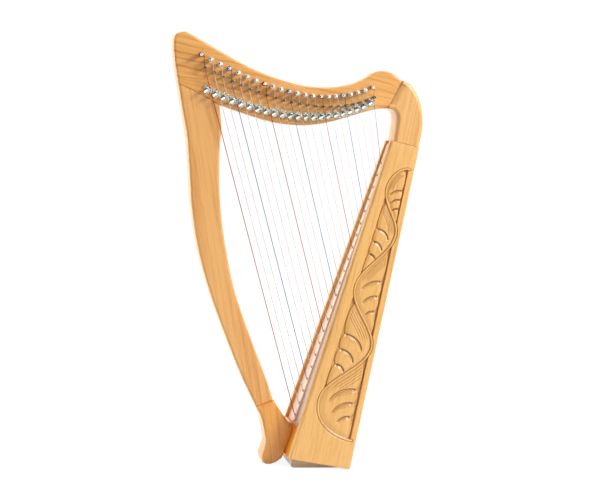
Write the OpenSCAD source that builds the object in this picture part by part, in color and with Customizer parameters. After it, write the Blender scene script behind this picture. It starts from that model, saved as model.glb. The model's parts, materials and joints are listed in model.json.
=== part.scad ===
// Lever harp with 22 strings: a curved pillar, a harmonic-curve neck and a tapering soundbox.
// X runs in the plane of the strings, from the pillar (-X) to the soundbox (+X).
// -Y is the side of the neck that carries the strings, tuning pins and sharping levers. Z is up.
// The origin is on the floor, in the middle of the flat underside of the base wedge.

/* [Soundbox] */
// Length of the soundbox along its straight back edge
box_len = 592; // [590:1:594]
// Depth of the soundbox at its bottom, from back to front edge
box_depth_bottom = 116; // [114:1:118]
// Depth of the soundbox at its top
box_depth_top = 55; // [54:1:56]
// Outside width of the soundbox at its bottom
box_w_bottom = 122; // [116:1:134]
// Backward lean of the soundbox from upright, in degrees
box_lean = 9.7; // [9.5:0.1:9.9]
// Thickness of the two side panels
panel_t = 12; // [10:0.5:12.5]
// Distance of the soundboard below the front edges of the side panels
board_recess = 6; // [5:0.5:6.5]
// Thickness of the soundboard
board_t = 3; // [2.5:0.5:4]
// Thickness of the back panel
back_t = 5; // [4:0.5:6]

/* [Neck, pillar, shoulder and foot] */
// Thickness of the neck board
neck_t = 32; // [30:1:36]
// Thickness of the pillar board
pillar_t = 32; // [28:1:36]
// Thickness of the shoulder block, which is also the outside width of the box's top
shoulder_t = 42; // [40:1:44]
// Thickness of the pillar's foot
foot_t = 42; // [38:1:46]

/* [Strings and pins] */
// Distance of the strings from the neck's face
string_off = 11; // [10.5:0.25:11.5]
// Distance between neighbouring strings along the soundboard
hole_pitch = 23; // [22.8:0.05:23.1]
// Distance of the first string from the soundbox's front bottom corner
first_hole = 69; // [67:0.5:71]
// Diameter of the tuning pins
pin_d = 6.4; // [6:0.1:6.6]
// Distance that the tuning pins stand out of the neck
pin_out = 19; // [18:0.5:22]
// Diameter of the bridge pins
bridge_d = 4; // [3.6:0.1:4.2]
// Radial clearance of the turning pins and levers
fit = 0.05; // [0.02:0.01:0.08]

/* [Sharping levers] */
// Length of a lever's handle from its pivot
handle_len = 9.5; // [8.5:0.25:9.75]
// Diameter of the stud that a lever turns on
stud_d = 2.6; // [2.4:0.1:2.8]

/* [Hidden] */
$fn = 48;
STRINGS = 22;

wood = "#E4B070";
pale_wood = "#E6CBB4";
nickel = "#C9CBC6";
steel = "#8E8F92";

// The soundbox's back bottom corner, and the taper of its front edge against its back edge
box_corner = [52.5, 2];
box_taper = atan((box_depth_bottom - box_depth_top) / box_len);
front_len = box_len / cos(box_taper);

// The base wedge
wedge_half_len = 47;
wedge_half_w = 42;
wedge_front_round = 6;

// A cutter reaches this far past the surface that it cuts
past = 1;

// Inside the soundbox
glue_gap = 0.05;
block_recess = 0.5;
front_block_h = 54;
front_block_depth = 34;
floor_t = 10;
top_block_h = 60;
board_top_gap = 2;
rib_w = 14;
rib_t = 4;
braces_above = [5, 11, 17];
brace_w = 10;
brace_h = 14;
strip_w = 12;
strip_t = 3;
strip_margin = 4;

// Sound holes in the back panel: distance up the box and diameter
sound_holes = [[120, 56], [235, 46], [340, 36]];

// Tuning pins, bridge pins and eyelets
pin_depth = 24;
pin_square = 4.6;
square_len = 6.5;
coil_w = 3.2;
wound_t = 0.8;
bridge_out = 14;
bridge_depth = 16;
dimple_d = 1.8;
dimple_depth = 2;
eyelet_d = 5;
eyelet_tube_d = 3.7;
eyelet_bore = 2.6;
flange_t = 0.8;

// Strings: the radius of the longest and the shortest, and how they end and bend
thick_string_r = 0.55;
thin_string_r = 0.3;
string_gap = 0.12;
exit_gap = 0.8;
knot_r = 2.1;
knot_gap = 0.1;
elbow_bulge = 0.1;
elbow_gap = 0.2;

// Lever parts, measured outward from the neck's face and sideways from the string
plate_t = 1.6;
plate_left = -8.6;
plate_step = -1.2;
plate_right = 3.4;
plate_bottom = -8.4;
plate_top = 7;
plate_low_top = 2.6;
pivot = [-4, -1];
barrel_r = 2.4;
barrel_from = 2.2;
barrel_to = 16.9;
handle_root = 1.8;
handle_from = 14;
handle_t = 2.6;
handle_w = 2.8;
handle_tip_d = 3.4;
handle_angle = 199;
cam_from = 6.2;
cam_t = 5.5;
cam_reach = 3.3;
cam_w = 2.4;
cap_d = 4.6;
cap_t = 1.2;
fret_r = 1.2;
fret_gap = 0.4;
fret_out = 13;
screw_head_d = 4.2;
screw_head_t = 1.4;
screw_slot_w = 0.6;
screw_d = 2.4;
screw_len = 12;
screw_spots = [[-6, 4.7], [-6, -5.7]];

function numbered(name, i) = str(name, "_", i < 10 ? "0" : "", i);

// Control points of the outlines in the plane of the strings, joined by smooth curves
neck_top = [[-302, 741], [-298, 751], [-286, 756], [-273, 753.5], [-217, 727], [-152, 699.5],
            [-80, 682], [-28, 680.5], [16, 689], [44, 702], [60, 713.5], [74, 717.5], [92, 715],
            [113.5, 703]];
neck_under = [[89, 651.5], [78, 650.7], [62, 647], [31, 636.5], [-2, 624.5], [-34, 615.5],
              [-68, 610.5], [-114, 612], [-160, 621], [-216, 636]];
neck_joint = [[-216, 636], [-252.5, 653.3], [-290.4, 667.7]];
neck_head = [[-290.4, 667.7], [-296.5, 696], [-300.5, 721], [-302, 741]];
pillar_front = [[-290.4, 667.7], [-280, 622], [-269.5, 576], [-262, 520], [-254, 455], [-238, 382],
                [-211, 302], [-176, 221], [-148, 161], [-117.5, 104.5]];
pillar_back = [[-87, 118], [-104.5, 162], [-136, 232], [-167.5, 309], [-187, 378], [-200, 440],
               [-207.5, 500], [-210.5, 560], [-209.5, 598], [-216, 636]];
shoulder_outer = [[113.5, 703], [128, 697], [142, 680], [151.5, 659], [156.5, 633], [156, 610]];
shoulder_inner = [[106.3, 618], [107, 632], [104.5, 643.5], [98.5, 649.5], [89, 651.5]];
foot_front = [[-117.5, 104.5], [-107, 84], [-99.5, 58], [-96.3, 40], [-98.5, 27], [-101.5, 15],
              [-99.5, 4], [-93, 0]];
foot_under = [[-84, 0], [-74, 4], [-64.5, 11]];
foot_top = [[-68, 92], [-87, 118]];

// The stretch of the soundbox's front edge that the foot is glued to
foot_glued = [-5, 47.5];

// A smooth curve through the given points, with n steps between neighbours
function curve(p, n = 6) = concat(
    [for (i = [0 : len(p) - 2], k = [0 : n - 1])
        let (t = k / n,
             a = i == 0 ? 2 * p[0] - p[1] : p[i - 1],
             b = p[i],
             c = p[i + 1],
             d = i == len(p) - 2 ? 2 * c - b : p[i + 2],
             quadratic = 2 * a - 5 * b + 4 * c - d,
             cubic = 3 * b - a - 3 * c + d)
        (2 * b + (c - a) * t + quadratic * t * t + cubic * t * t * t) / 2],
    [p[len(p) - 1]]);

// The same list without its last point, to join curves end to end
function open(p) = [for (i = [0 : len(p) - 2]) p[i]];

// A point on a cubic curve with four control points
function bezier(p, t) =
    pow(1 - t, 3) * p[0] + 3 * pow(1 - t, 2) * t * p[1] + 3 * (1 - t) * t * t * p[2] + pow(t, 3) * p[3];

// A point of the soundbox's own frame, and a point along its front edge, in the harp's frame
function box_point(x, s) = [box_corner.x + x * cos(box_lean) + s * sin(box_lean),
                            box_corner.y - x * sin(box_lean) + s * cos(box_lean)];
function front_lean() = box_lean + box_taper;
function front_point(s, depth = 0) = box_point(-box_depth_bottom, 0)
    + s * [sin(front_lean()), cos(front_lean())]
    + depth * [cos(front_lean()), -sin(front_lean())];

// Where each string starts, bends and ends. String 1 is the longest.
tuning_curve = [[-254, 719], [-135, 668], [-36, 641], [54, 686]];
bridge_curve = [[-245, 698], [-133, 647], [-24, 626], [60, 669]];
function share(i) = (i - 1) / (STRINGS - 1);
function string_r(i) = thick_string_r + (thin_string_r - thick_string_r) * share(i);
function tuning_pos(i) = bezier(tuning_curve, share(i));
function bridge_pos(i) = bezier(bridge_curve, share(i));
function hole_along(i) = first_hole + (i - 1) * hole_pitch;
function mouth(i) = front_point(hole_along(i), board_recess - strip_t - flange_t - exit_gap);
function lean_of(i) = let (d = bridge_pos(i) - mouth(i)) atan2(-d.x, d.y);
function side_of_bridge(i) = bridge_pos(i)
    - (bridge_d / 2 + string_r(i) + string_gap) * [cos(lean_of(i)), sin(lean_of(i))];
string_y = -neck_t / 2 - string_off;
function bend(i) = let (b = side_of_bridge(i)) [b.x, string_y, b.y];
function exit(i) = let (m = mouth(i)) [m.x, 0, m.y];
function speaking_length(i) = norm(bend(i) - exit(i));

// A lever's fret shortens its string by one semitone
semitone = 1 - pow(2, -1 / 12);
function fret_pos(i) = bend(i) + semitone * (exit(i) - bend(i));

// Where a string leaves the coil on its tuning pin: on the coil's right side, level with the pin
coil_r = pin_d / 2 + wound_t;
function coil_exit(i) = let (c = tuning_pos(i), b = side_of_bridge(i), d = b - c,
                             r = coil_r + string_r(i) + string_gap, a = asin(r / norm(d)), u = d / norm(d),
                             v = [u.x * cos(a) - u.y * sin(a), u.x * sin(a) + u.y * cos(a)],
                             q = b - v * sqrt(norm(d) * norm(d) - r * r))
    [q.x, string_y, q.y];

// Stand an outline of the string plane up and give it a thickness
module board(t) {
    rotate([90, 0, 0]) linear_extrude(t, center = true) children();
}

// Extrude an outline of (width, height) along the box's depth
module across(from, to) {
    translate([from, 0, 0]) rotate([90, 0, 90]) linear_extrude(to - from) children();
}

module box_frame_at() {
    translate([box_corner.x, 0, box_corner.y]) rotate([0, box_lean, 0]) children();
}

// +Z runs up the soundbox's front edge and +X runs into the box
module front_frame_at() {
    box_frame_at() translate([-box_depth_bottom, 0, 0]) rotate([0, box_taper, 0]) children();
}

// Outward from the neck's string side is +Z here, and X and Y are the harp's X and Z
module on_neck(p) {
    translate([p.x, -neck_t / 2, p.y]) rotate([90, 0, 0]) children();
}

// At a lever's fret, turned so that +Y runs up the string
module at_lever(i) {
    f = fret_pos(i);
    on_neck([f.x, f.z]) rotate(lean_of(i)) children();
}

module rod(p, q, r) {
    d = q - p;
    translate(p) rotate([0, acos(d.z / norm(d)), atan2(d.y, d.x)]) cylinder(r = r, h = norm(d), $fn = 24);
}

// Half of the box's outside width at height s, less an inset
function half_w(s, inset = 0) =
    (box_w_bottom + (shoulder_t - box_w_bottom) * s / box_len) / 2 - inset;

module side_outline() {
    polygon([[0, 0], [0, box_len], [-box_depth_top, box_len], [-box_depth_bottom, 0]]);
}

// The space between the two side panels, from height s0 to s1
module between_panels(s0, s1, gap = 0) {
    across(-box_depth_bottom - past, past)
        polygon([[-half_w(s0, panel_t + gap), s0], [half_w(s0, panel_t + gap), s0],
                 [half_w(s1, panel_t + gap), s1], [-half_w(s1, panel_t + gap), s1]]);
}

module side_panel(side) {
    color(wood) box_frame_at() intersection() {
        board(2 * box_w_bottom) side_outline();
        across(-box_depth_bottom - past, past)
            polygon([[side * half_w(0), 0], [side * half_w(0, panel_t), 0],
                     [side * half_w(box_len, panel_t), box_len], [side * half_w(box_len), box_len]]);
    }
}

// A slab that lies parallel to the soundboard between the panels, from depth d0 to d1
module front_slab(d0, d1, s0, s1, gap = 0) {
    intersection() {
        front_frame_at() translate([d0, -box_w_bottom, s0]) cube([d1 - d0, 2 * box_w_bottom, s1 - s0]);
        box_frame_at() between_panels(0, box_len, gap);
    }
}

module eyelet_holes(d, d0, d1) {
    for (i = [1 : STRINGS])
        front_frame_at() translate([d0, 0, hole_along(i)]) rotate([0, 90, 0]) cylinder(d = d, h = d1 - d0);
}

module soundboard() {
    color(pale_wood) difference() {
        union() {
            front_slab(board_recess, board_recess + board_t,
                       front_block_h, front_len - board_top_gap, glue_gap);
            front_frame_at() translate([board_recess - strip_t, -strip_w / 2, front_block_h + strip_margin])
                cube([strip_t, strip_w, front_len - board_top_gap - front_block_h - 2 * strip_margin]);
        }
        eyelet_holes(eyelet_tube_d + 2 * glue_gap, 0, board_recess + board_t + past);
    }
}

module string_eyelets() {
    color(steel) difference() {
        for (i = [1 : STRINGS])
            front_frame_at() translate([board_recess - strip_t - flange_t, 0, hole_along(i)])
                rotate([0, 90, 0]) {
                    cylinder(d = eyelet_d, h = flange_t);
                    cylinder(d = eyelet_tube_d, h = flange_t + strip_t + board_t);
                }
        eyelet_holes(eyelet_bore, 0, board_recess + board_t + past);
    }
}

module back_panel() {
    color(wood) box_frame_at() difference() {
        intersection() {
            between_panels(0, box_len, glue_gap);
            translate([-back_t, -box_w_bottom, 0]) cube([back_t, 2 * box_w_bottom, box_len]);
        }
        for (h = sound_holes)
            translate([-back_t - past, 0, h[0]]) rotate([0, 90, 0])
                cylinder(d = h[1], h = back_t + 2 * past, $fn = 96);
    }
}

// The rib that backs the string holes, with a hole for each string
module inner_rib() {
    difference() {
        front_frame_at() translate([board_recess + board_t, -rib_w / 2, front_block_h])
            cube([rib_t, rib_w, front_len - front_block_h - top_block_h]);
        eyelet_holes(eyelet_bore, board_recess, board_recess + board_t + rib_t + past);
    }
}

// A bar across the soundboard, halfway between two strings
module brace(i) {
    s = hole_along(i + 0.5);
    inner_face = board_recess + board_t;
    difference() {
        front_slab(inner_face, inner_face + brace_h, s - brace_w / 2, s + brace_w / 2, glue_gap);
        front_frame_at() translate([inner_face - past, -rib_w / 2, s - brace_w])
            cube([rib_t + past, rib_w, 2 * brace_w]);
    }
}

// The solid block that the foot is glued to, under the soundboard's lower end
module front_block() {
    intersection() {
        front_slab(block_recess, front_block_depth, -front_block_depth, front_block_h, glue_gap);
        box_frame_at() translate([-2 * box_depth_bottom, -box_w_bottom, 0])
            cube([2 * box_depth_bottom, 2 * box_w_bottom, 2 * front_block_h]);
    }
}

module floor_board() {
    difference() {
        box_frame_at() intersection() {
            between_panels(0, floor_t, glue_gap);
            translate([-box_depth_bottom, -box_w_bottom, 0])
                cube([box_depth_bottom - back_t, 2 * box_w_bottom, floor_t]);
        }
        front_frame_at() translate([-floor_t, -box_w_bottom, -front_block_depth])
            cube([floor_t + front_block_depth, 2 * box_w_bottom, 2 * front_block_depth]);
    }
}

module top_block() {
    difference() {
        box_frame_at() intersection() {
            between_panels(box_len - top_block_h, box_len, glue_gap);
            translate([-2 * box_depth_top, -box_w_bottom, box_len - top_block_h])
                cube([2 * box_depth_top - back_t, 2 * box_w_bottom, top_block_h]);
        }
        front_frame_at() translate([-box_depth_bottom, -box_w_bottom, 0])
            cube([box_depth_bottom + board_recess + board_t, 2 * box_w_bottom, 2 * box_len]);
        // Clearance over the knots of the last strings, which end inside this block
        for (i = [STRINGS - 1 : STRINGS])
            front_frame_at() translate([0, 0, hole_along(i)]) rotate([0, 90, 0])
                cylinder(r = knot_r + 1, h = board_recess + board_t + 4 * knot_r + rib_t);
    }
}

module box_frame() {
    color(wood) {
        front_block();
        floor_board();
        top_block();
        inner_rib();
        for (i = braces_above) brace(i);
    }
}

// The wedge that levels the leaning box on the floor
module base_wedge() {
    z_box = function (x) box_corner.y + (box_corner.x - x) * tan(box_lean) - glue_gap;
    r = wedge_front_round;
    front_x = -wedge_half_len - r - past;
    color(wood) board(2 * wedge_half_w)
        polygon(concat(
            [for (a = [270 : -15 : 195]) [-wedge_half_len + r * cos(a), r + r * sin(a)]],
            [[front_x, z_box(front_x)], [wedge_half_len, z_box(wedge_half_len)], [wedge_half_len, 0]]));
}

module pillar() {
    color(wood) board(pillar_t)
        polygon(concat(curve(pillar_front), open(curve(pillar_back)), open(curve(neck_joint))));
}

module pillar_foot() {
    color(wood) board(foot_t)
        polygon(concat(curve(foot_front), curve(foot_under),
                       [for (s = foot_glued) front_point(s, block_recess - glue_gap)], curve(foot_top)));
}

module neck() {
    color(wood) difference() {
        board(neck_t)
            polygon(concat(curve(neck_top), open(curve(neck_under)), open(curve(neck_joint)),
                           open(curve(neck_head))));
        for (i = [1 : STRINGS]) {
            on_neck(tuning_pos(i)) translate([0, 0, -pin_depth - past])
                cylinder(d = pin_d + 2 * fit, h = pin_depth + 2 * past);
            on_neck(bridge_pos(i)) translate([0, 0, -bridge_depth])
                cylinder(d = bridge_d, h = bridge_depth + past);
            at_lever(i) for (s = screw_spots)
                translate([s.x, s.y, -screw_len]) cylinder(d = screw_d, h = screw_len + past, $fn = 24);
        }
    }
}

module shoulder_block() {
    color(wood) board(shoulder_t)
        polygon(concat(curve(shoulder_outer),
                       [for (x = [0, board_recess - box_depth_top]) box_point(x, box_len + glue_gap)],
                       curve(shoulder_inner)));
}

module bridge_pins() {
    color(nickel) for (i = [1 : STRINGS])
        on_neck(bridge_pos(i)) difference() {
            translate([0, 0, -bridge_depth]) cylinder(d = bridge_d, h = bridge_depth + bridge_out);
            translate([0, 0, bridge_out - dimple_depth]) cylinder(d = dimple_d, h = dimple_depth + past);
        }
}

// A lever's plate, tall beside the string and low under it
module lever_plate() {
    translate([plate_left, plate_bottom, 0])
        cube([plate_step - plate_left, plate_top - plate_bottom, plate_t]);
    translate([plate_step - glue_gap, plate_bottom, 0])
        cube([plate_right - plate_step + glue_gap, plate_low_top - plate_bottom, plate_t]);
}

module lever_screw() {
    difference() {
        union() {
            translate([0, 0, -screw_len]) cylinder(d = screw_d, h = screw_len + plate_t, $fn = 24);
            translate([0, 0, plate_t]) cylinder(d = screw_head_d, h = screw_head_t);
        }
        translate([-screw_head_d, -screw_slot_w / 2, plate_t + screw_head_t / 2])
            cube([2 * screw_head_d, screw_slot_w, screw_head_t]);
    }
}

// Fixed parts of a lever: the plate, its two screws, the fret post and the stud with its cap
module lever_base(i) {
    at_lever(i) {
        difference() {
            union() {
                lever_plate();
                translate([pivot.x, pivot.y, 0]) cylinder(d = stud_d, h = barrel_to + fit + cap_t);
                translate([pivot.x, pivot.y, barrel_to + fit]) cylinder(d = cap_d, h = cap_t);
                translate([thick_string_r + fret_r + fret_gap, 0, 0]) cylinder(r = fret_r, h = fret_out);
            }
            for (s = screw_spots)
                translate([s.x, s.y, -past]) cylinder(d = screw_d, h = plate_t + 2 * past, $fn = 24);
        }
        for (s = screw_spots) translate([s.x, s.y, 0]) lever_screw();
    }
}

module lever_bases() {
    color(nickel) for (i = [1 : STRINGS]) lever_base(i);
}

// The turning part of a lever: a barrel on the stud, the cam and the handle
module lever(i) {
    reach = handle_len - handle_tip_d / 2;
    color(nickel) at_lever(i) translate([pivot.x, pivot.y, 0]) difference() {
        union() {
            translate([0, 0, barrel_from]) cylinder(r = barrel_r, h = barrel_to - barrel_from);
            translate([-cam_w / 2, 0, cam_from]) cube([cam_w, cam_reach, cam_t]);
            rotate(handle_angle) translate([handle_root, -handle_w / 2, handle_from])
                cube([reach - handle_root, handle_w, handle_t]);
            rotate(handle_angle) translate([reach, 0, handle_from]) cylinder(d = handle_tip_d, h = handle_t);
        }
        cylinder(d = stud_d + 2 * fit, h = barrel_to + past);
    }
}

// A tuning pin: a round body, the coil of string round it and a square head for the key
module tuning_pin(i) {
    color(steel) on_neck(tuning_pos(i)) {
        translate([0, 0, -pin_depth]) cylinder(d = pin_d, h = pin_depth + pin_out - square_len);
        translate([0, 0, string_off - coil_w / 2]) cylinder(r = coil_r, h = coil_w);
        translate([-pin_square / 2, -pin_square / 2, pin_out - square_len - 1])
            cube([pin_square, pin_square, square_len + 1]);
    }
}

// One string: from its knot inside the box, through its eyelet, past the bridge pin to its coil
module one_string(i) {
    r = string_r(i);
    inward = [cos(front_lean()), 0, -sin(front_lean())];
    knot = exit(i) + inward * (exit_gap + flange_t + strip_t + board_t + rib_t + knot_gap + knot_r);
    down = (exit(i) - bend(i)) / speaking_length(i);
    up = (coil_exit(i) - bend(i)) / norm(coil_exit(i) - bend(i));
    rod(knot, exit(i), r);
    translate(knot) sphere(r = knot_r, $fn = 24);
    translate(exit(i)) sphere(r = r + elbow_bulge, $fn = 24);
    rod(exit(i) - elbow_gap * down, bend(i) + elbow_gap * down, r);
    translate(bend(i)) sphere(r = r + elbow_bulge, $fn = 24);
    rod(bend(i) + elbow_gap * up, coil_exit(i), r);
}

module strings(first, step, shade) {
    color(shade) for (i = [first : step : STRINGS]) one_string(i);
}

// Every C is red and every F is blue, so that the player can find the notes
function is_clear(i) = (i - 1) % 7 != 0 && (i - 4) % 7 != 0;

module strings_clear() {
    color("#E9E2DC") for (i = [1 : STRINGS]) if (is_clear(i)) one_string(i);
}

pillar();
pillar_foot();
neck();
shoulder_block();
side_panel(-1);  // left_side_panel
side_panel(1);  // right_side_panel
soundboard();
back_panel();
box_frame();
base_wedge();
string_eyelets();
bridge_pins();
lever_bases();
strings_clear();
strings(1, 7, "#C2283A");  // strings_red
strings(4, 7, "#3A63B5");  // strings_blue
for (i = [1 : STRINGS])
    lever(i);
for (i = [1 : STRINGS])
    tuning_pin(i);
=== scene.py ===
"""Lever harp: the visual model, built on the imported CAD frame. All lengths are in metres."""

import json
import math

import bmesh
import bpy
import numpy as np
from mathutils import Matrix, Vector


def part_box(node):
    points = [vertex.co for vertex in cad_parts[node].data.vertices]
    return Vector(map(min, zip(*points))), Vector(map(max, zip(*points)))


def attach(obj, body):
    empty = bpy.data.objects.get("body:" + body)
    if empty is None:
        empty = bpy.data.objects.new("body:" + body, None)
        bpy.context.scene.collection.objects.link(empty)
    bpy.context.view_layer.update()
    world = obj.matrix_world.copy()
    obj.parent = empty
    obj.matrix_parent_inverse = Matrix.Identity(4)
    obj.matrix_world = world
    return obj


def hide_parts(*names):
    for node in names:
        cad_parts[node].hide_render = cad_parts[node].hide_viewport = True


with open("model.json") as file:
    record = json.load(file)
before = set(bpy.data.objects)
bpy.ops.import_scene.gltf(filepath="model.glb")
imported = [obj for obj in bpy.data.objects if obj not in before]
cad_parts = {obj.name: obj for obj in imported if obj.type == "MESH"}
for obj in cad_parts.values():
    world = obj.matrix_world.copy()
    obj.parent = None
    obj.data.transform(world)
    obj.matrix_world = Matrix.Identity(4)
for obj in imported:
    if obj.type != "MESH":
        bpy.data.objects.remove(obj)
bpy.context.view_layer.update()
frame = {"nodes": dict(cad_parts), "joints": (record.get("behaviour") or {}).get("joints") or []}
NODES = frame["nodes"]
JOINTS = {joint["name"]: joint for joint in frame["joints"]}
STRINGS = 22
MM = 0.001

# Radius of the longest and the shortest string along their free length, and beside the levers,
# where they have their CAD radius so that a turned lever clears them
THICK_STRING = 0.68 * MM
THIN_STRING = 0.42 * MM
THICK_AT_LEVER = 0.55 * MM
THIN_AT_LEVER = 0.30 * MM
# The slim part ends this far below the bridge pin, and grows to the full radius over the taper
LEVER_REACH = 45 * MM
LEVER_TAPER = 2 * MM
# How far the middle line of the strings lies behind the outermost point of their CAD shape
STRING_INSET = 0.65 * MM


# ---------------------------------------------------------------- reading the frame

def vertices(node):
    mesh = NODES[node].data
    co = np.empty(len(mesh.vertices) * 3)
    mesh.vertices.foreach_get("co", co)
    return co.reshape(-1, 3)


def welded(node):
    """The CAD node's mesh with its split vertices joined, as a new bmesh."""
    bm = bmesh.new()
    bm.from_mesh(NODES[node].data)
    bmesh.ops.remove_doubles(bm, verts=bm.verts, dist=1e-6)
    return bm


def solids(node, key):
    """The separate solids of a CAD node, as arrays of vertices in the order that key gives."""
    bm = welded(node)
    seen, found = set(), []
    for start in bm.verts:
        if start in seen:
            continue
        seen.add(start)
        stack, group = [start], []
        while stack:
            vert = stack.pop()
            group.append(vert.co[:])
            for edge in vert.link_edges:
                other = edge.other_vert(vert)
                if other not in seen:
                    seen.add(other)
                    stack.append(other)
        found.append(np.array(group))
    bm.free()
    return sorted(found, key=key)


def outline(node):
    """The edge of a board's flat +Y face, as (x, z) pairs that run anticlockwise seen from -Y."""
    mesh = NODES[node].data
    co = vertices(node)
    level = co[:, 1].max()
    rim = set()
    for polygon in mesh.polygons:
        if any(abs(co[v][1] - level) > 1e-6 for v in polygon.vertices):
            continue
        keys = [(round(co[v][0], 6), round(co[v][2], 6)) for v in polygon.vertices]
        for a, b in zip(keys, keys[1:] + keys[:1]):
            if (b, a) in rim:
                rim.remove((b, a))
            else:
                rim.add((a, b))
    following = dict(rim)
    start = next(iter(following))
    loop, at = [start], following[start]
    while at != start:
        loop.append(at)
        at = following[at]
    points = np.array(loop)
    x, z = points.T
    area = np.sum(x * np.roll(z, -1) - np.roll(x, -1) * z)
    return points if area > 0 else points[::-1]


def panel_corners(node):
    """The eight corners of a side panel by (end, edge, face), such as ("low", "front", "outer")."""
    co = np.unique(np.round(vertices(node), 6), axis=0)
    middle = (co[:, 2].min() + co[:, 2].max()) / 2
    corners = {}
    for end, group in (("low", co[co[:, 2] < middle]), ("high", co[co[:, 2] > middle])):
        split = (group[:, 0].min() + group[:, 0].max()) / 2
        for edge, pair in (("front", group[group[:, 0] < split]), ("back", group[group[:, 0] > split])):
            pair = pair[np.argsort(np.abs(pair[:, 1]))]
            corners[end, edge, "inner"] = Vector(pair[0])
            corners[end, edge, "outer"] = Vector(pair[-1])
    return corners


CORNERS = panel_corners("left_side_panel")
FRONT_LOW = CORNERS["low", "front", "outer"]
FRONT_HIGH = CORNERS["high", "front", "outer"]
BACK_LOW = CORNERS["low", "back", "outer"]
BACK_HIGH = CORNERS["high", "back", "outer"]


def flat(p):
    """A point moved into the plane of the strings."""
    return Vector((p.x, 0, p.z))


FRONT_UP = (flat(FRONT_HIGH) - flat(FRONT_LOW)).normalized()
BOX_UP = (flat(BACK_HIGH) - flat(BACK_LOW)).normalized()
INWARD = Vector((FRONT_UP.z, 0, -FRONT_UP.x))
FRONT_LEAN = math.atan2(FRONT_UP.x, FRONT_UP.z)
BOX_LEAN = math.atan2(BOX_UP.x, BOX_UP.z)


# ---------------------------------------------------------------- mesh building

def piece(name, bm, material, body, node=None, crease=40):
    """Turns a bmesh into a piece that rides on a body, and may stand for a CAD node."""
    bmesh.ops.recalc_face_normals(bm, faces=bm.faces)
    for face in bm.faces:
        face.smooth = len(face.verts) <= 4
    for edge in bm.edges:
        edge.smooth = len(edge.link_faces) == 2 and edge.calc_face_angle(0) < math.radians(crease)
    mesh = bpy.data.meshes.new(name)
    bm.to_mesh(mesh)
    bm.free()
    made = bpy.data.objects.new(name, mesh)
    bpy.context.scene.collection.objects.link(made)
    mesh.materials.append(material)
    weighted = made.modifiers.new("normals", "WEIGHTED_NORMAL")
    weighted.keep_sharp = True
    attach(made, body)
    if node:
        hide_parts(node)
    return made


def bridge_rings(bm, rings, closed=True):
    """Joins rings of vertices with faces. A closed ring's last vertex is joined to its first."""
    for one, two in zip(rings, rings[1:]):
        count = len(one)
        for i in range(count if closed else count - 1):
            j = (i + 1) % count
            bm.faces.new((one[i], one[j], two[j], two[i]))


def axes_for(axis):
    """Two unit vectors at right angles to an axis and to each other."""
    axis = Vector(axis).normalized()
    side = axis.cross(Vector((0, 1, 0)))
    if side.length < 0.1:
        side = Vector((1, 0, 0))
    side.normalize()
    return side, axis.cross(side)


def lathe(bm, origin, axis, profile, sides):
    """Adds a turned solid: profile is (radius, height along the axis) pairs, closed at radius 0."""
    origin, axis = Vector(origin), Vector(axis).normalized()
    u, v = axes_for(axis)
    rings = []
    for radius, height in profile:
        centre = origin + axis * height
        if radius == 0:
            rings.append([bm.verts.new(centre)])
            continue
        rings.append([bm.verts.new(centre + u * (radius * math.cos(a)) + v * (radius * math.sin(a)))
                      for a in (2 * math.pi * k / sides for k in range(sides))])
    for one, two in zip(rings, rings[1:]):
        if len(one) == 1 or len(two) == 1:
            tip, ring = (one[0], two) if len(one) == 1 else (two[0], one)
            for i in range(sides):
                bm.faces.new((tip, ring[i], ring[(i + 1) % sides]))
        else:
            bridge_rings(bm, [one, two])


def tube(bm, points, radii, sides=10):
    """Adds a round tube along a path, with closed ends. radii holds its radius at each point."""
    points = [Vector(p) for p in points]
    heading = (points[1] - points[0]).normalized()
    side, _ = axes_for(heading)
    rings = []
    for k, (point, radius) in enumerate(zip(points, radii)):
        before = points[max(k - 1, 0)]
        after = points[min(k + 1, len(points) - 1)]
        heading = (after - before).normalized()
        side = (side - heading * side.dot(heading)).normalized()
        up = heading.cross(side)
        rings.append([bm.verts.new(point + side * (radius * math.cos(a)) + up * (radius * math.sin(a)))
                      for a in (2 * math.pi * n / sides for n in range(sides))])
    bridge_rings(bm, rings)
    bm.faces.new(rings[0])
    bm.faces.new(rings[-1])


def rounded_corner(before, corner, after, reach, steps=5):
    """Points of a smooth bend that replaces a sharp corner of a path."""
    start = corner + (before - corner).normalized() * reach
    end = corner + (after - corner).normalized() * reach
    return [start * (1 - t) ** 2 + corner * (2 * t * (1 - t)) + end * t ** 2
            for t in (k / steps for k in range(steps + 1))]


# ---------------------------------------------------------------- materials

def new_material(name):
    material = bpy.data.materials.new(name)
    material.use_nodes = True
    material.node_tree.nodes.clear()
    return material, material.node_tree


def add(tree, kind, inputs=(), **settings):
    """Adds a shader node. inputs holds (socket, value or other socket) pairs."""
    made = tree.nodes.new("ShaderNode" + kind)
    for key, value in settings.items():
        setattr(made, key, value)
    for key, value in inputs:
        if isinstance(value, bpy.types.NodeSocket):
            tree.links.new(value, made.inputs[key])
        else:
            made.inputs[key].default_value = value
    return made


def linear(r, g, b):
    """A colour given as 0-255 display values, as Blender's linear RGBA."""
    def one(c):
        c /= 255
        return c / 12.92 if c <= 0.04045 else ((c + 0.055) / 1.055) ** 2.4
    return (one(r), one(g), one(b), 1)


def mix(tree, factor, a, b):
    """Blends from colour a to colour b as the factor goes from 0 to 1."""
    made = add(tree, "Mix", data_type="RGBA")
    for socket, value in (("Factor_Float", factor), ("A_Color", a), ("B_Color", b)):
        target = next(s for s in made.inputs if s.identifier == socket)
        if isinstance(value, bpy.types.NodeSocket):
            tree.links.new(value, target)
        else:
            target.default_value = value
    return next(s for s in made.outputs if s.identifier == "Result_Color")


def ramp(tree, value, low, high):
    """Stretches a value so that low becomes 0 and high becomes 1, clamped."""
    return add(tree, "MapRange", [("Value", value), ("From Min", low), ("From Max", high)],
               interpolation_type="SMOOTHSTEP").outputs["Result"]


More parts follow.
